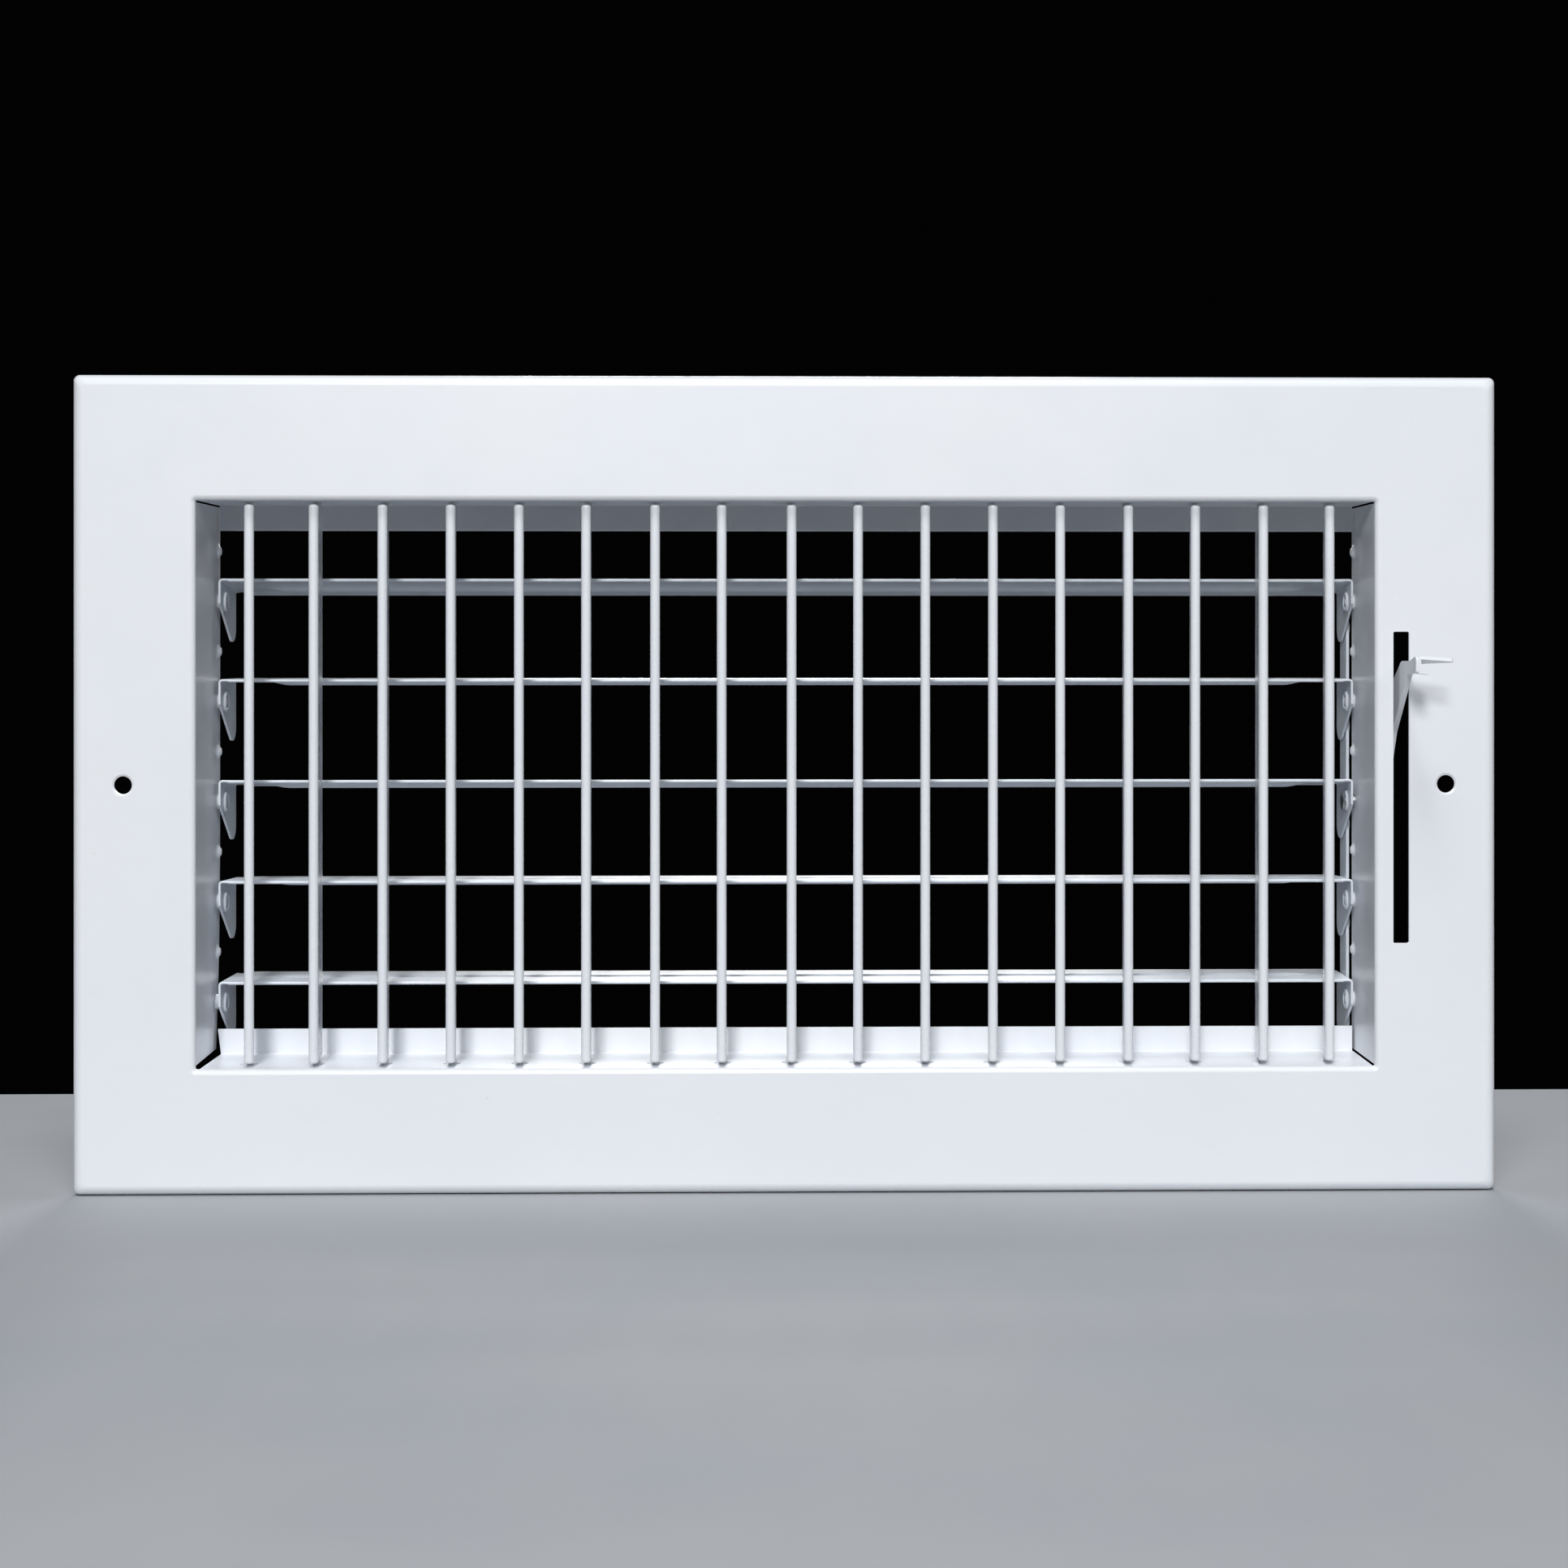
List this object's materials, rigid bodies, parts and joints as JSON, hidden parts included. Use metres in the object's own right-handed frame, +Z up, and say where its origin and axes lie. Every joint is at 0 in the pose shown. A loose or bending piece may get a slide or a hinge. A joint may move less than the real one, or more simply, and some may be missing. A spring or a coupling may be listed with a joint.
{
  "type": "louvred air grille",
  "caption": "White steel sidewall supply grille: flanged face frame, upright adjustable vanes and a lever-worked multi-blade damper behind them.",
  "frame": {"origin": "centre of the wall plane, which the rear edge of the face's rim lies in", "axes": "+X to the right seen from the room, +Y into the wall, +Z up"},
  "size_m": [0.35, 0.0632, 0.201],
  "materials": {
    "face_enamel": "semi-gloss bluish-white baked enamel",
    "vane_enamel": "semi-gloss bluish-white baked enamel on rolled blades",
    "damper_enamel": "semi-gloss white enamel on thin sheet",
    "bare_steel": "plain zinc-plated rivet steel"
  },
  "bodies": {
    "frame": {"face_frame": "face_enamel"},
    "damper_1": {"damper_blade_1": "damper_enamel"},
    "damper_2": {"damper_blade_2": "damper_enamel"},
    "damper_3": {"damper_blade_3": "damper_enamel", "damper_lever": "face_enamel", "lever_axle": "bare_steel"},
    "damper_4": {"damper_blade_4": "damper_enamel"},
    "damper_5": {"damper_blade_5": "damper_enamel"},
    "link": {"damper_link_bar": "damper_enamel"},
    "vane_01": {"vane_01": "vane_enamel"},
    "vane_02": {"vane_02": "vane_enamel"},
    "vane_03": {"vane_03": "vane_enamel"},
    "vane_04": {"vane_04": "vane_enamel"},
    "vane_05": {"vane_05": "vane_enamel"},
    "vane_06": {"vane_06": "vane_enamel"},
    "vane_07": {"vane_07": "vane_enamel"},
    "vane_08": {"vane_08": "vane_enamel"},
    "vane_09": {"vane_09": "vane_enamel"},
    "vane_10": {"vane_10": "vane_enamel"},
    "vane_11": {"vane_11": "vane_enamel"},
    "vane_12": {"vane_12": "vane_enamel"},
    "vane_13": {"vane_13": "vane_enamel"},
    "vane_14": {"vane_14": "vane_enamel"},
    "vane_15": {"vane_15": "vane_enamel"},
    "vane_16": {"vane_16": "vane_enamel"},
    "vane_17": {"vane_17": "vane_enamel"}
  },
  "joints": [
    {"name": "damper_lever_turn", "type": "hinge", "parent": "frame", "child": "damper_3", "pos_m": [0, 0.02119, -0.0056], "axis": [1, 0, 0], "range_deg": [-12, 88]},
    {"name": "damper_blade_1_turn", "type": "hinge", "parent": "frame", "child": "damper_1", "pos_m": [0, 0.02119, 0.0453], "axis": [1, 0, 0], "range_deg": [-12, 88]},
    {"name": "damper_blade_2_turn", "type": "hinge", "parent": "frame", "child": "damper_2", "pos_m": [0, 0.02119, 0.01985], "axis": [1, 0, 0], "range_deg": [-12, 88]},
    {"name": "damper_blade_4_turn", "type": "hinge", "parent": "frame", "child": "damper_4", "pos_m": [0, 0.02119, -0.03105], "axis": [1, 0, 0], "range_deg": [-12, 88]},
    {"name": "damper_blade_5_turn", "type": "hinge", "parent": "frame", "child": "damper_5", "pos_m": [0, 0.02119, -0.0565], "axis": [1, 0, 0], "range_deg": [-12, 88]},
    {"name": "damper_link_turn", "type": "hinge", "parent": "damper_3", "child": "link", "pos_m": [0.1444, 0.03039, -0.0122], "axis": [1, 0, 0], "range_deg": [-88, 12]},
    {"name": "vane_01_turn", "type": "hinge", "parent": "frame", "child": "vane_01", "pos_m": [-0.1337, 0.0037, 0], "axis": [0, 0, 1], "range_deg": [-91.5, 68.5]},
    {"name": "vane_02_turn", "type": "hinge", "parent": "frame", "child": "vane_02", "pos_m": [-0.11691, 0.0037, 0], "axis": [0, 0, 1], "range_deg": [-82.5, 77.5]},
    {"name": "vane_03_turn", "type": "hinge", "parent": "frame", "child": "vane_03", "pos_m": [-0.10013, 0.0037, 0], "axis": [0, 0, 1], "range_deg": [-83.5, 76.5]},
    {"name": "vane_04_turn", "type": "hinge", "parent": "frame", "child": "vane_04", "pos_m": [-0.08334, 0.0037, 0], "axis": [0, 0, 1], "range_deg": [-83, 77]},
    {"name": "vane_05_turn", "type": "hinge", "parent": "frame", "child": "vane_05", "pos_m": [-0.06655, 0.0037, 0], "axis": [0, 0, 1], "range_deg": [-83, 77]},
    {"name": "vane_06_turn", "type": "hinge", "parent": "frame", "child": "vane_06", "pos_m": [-0.04976, 0.0037, 0], "axis": [0, 0, 1], "range_deg": [-80.5, 79.5]},
    {"name": "vane_07_turn", "type": "hinge", "parent": "frame", "child": "vane_07", "pos_m": [-0.03297, 0.0037, 0], "axis": [0, 0, 1], "range_deg": [-82.5, 77.5]},
    {"name": "vane_08_turn", "type": "hinge", "parent": "frame", "child": "vane_08", "pos_m": [-0.01619, 0.0037, 0], "axis": [0, 0, 1], "range_deg": [-79, 81]},
    {"name": "vane_09_turn", "type": "hinge", "parent": "frame", "child": "vane_09", "pos_m": [0.0006, 0.0037, 0], "axis": [0, 0, 1], "range_deg": [-83.5, 76.5]},
    {"name": "vane_10_turn", "type": "hinge", "parent": "frame", "child": "vane_10", "pos_m": [0.01739, 0.0037, 0], "axis": [0, 0, 1], "range_deg": [-80, 80]},
    {"name": "vane_11_turn", "type": "hinge", "parent": "frame", "child": "vane_11", "pos_m": [0.03417, 0.0037, 0], "axis": [0, 0, 1], "range_deg": [-78.5, 81.5]},
    {"name": "vane_12_turn", "type": "hinge", "parent": "frame", "child": "vane_12", "pos_m": [0.05096, 0.0037, 0], "axis": [0, 0, 1], "range_deg": [-78, 82]},
    {"name": "vane_13_turn", "type": "hinge", "parent": "frame", "child": "vane_13", "pos_m": [0.06775, 0.0037, 0], "axis": [0, 0, 1], "range_deg": [-77, 83]},
    {"name": "vane_14_turn", "type": "hinge", "parent": "frame", "child": "vane_14", "pos_m": [0.08454, 0.0037, 0], "axis": [0, 0, 1], "range_deg": [-78, 82]},
    {"name": "vane_15_turn", "type": "hinge", "parent": "frame", "child": "vane_15", "pos_m": [0.10132, 0.0037, 0], "axis": [0, 0, 1], "range_deg": [-76.5, 83.5]},
    {"name": "vane_16_turn", "type": "hinge", "parent": "frame", "child": "vane_16", "pos_m": [0.11811, 0.0037, 0], "axis": [0, 0, 1], "range_deg": [-77.5, 82.5]},
    {"name": "vane_17_turn", "type": "hinge", "parent": "frame", "child": "vane_17", "pos_m": [0.1349, 0.0037, 0], "axis": [0, 0, 1], "range_deg": [-74.5, 85.5]}
  ],
  "couplings": [
    {"joint": "damper_blade_1_turn", "follows": "damper_lever_turn", "ratio": 1},
    {"joint": "damper_blade_2_turn", "follows": "damper_lever_turn", "ratio": 1},
    {"joint": "damper_blade_4_turn", "follows": "damper_lever_turn", "ratio": 1},
    {"joint": "damper_blade_5_turn", "follows": "damper_lever_turn", "ratio": 1},
    {"joint": "damper_link_turn", "follows": "damper_lever_turn", "ratio": -1}
  ]
}
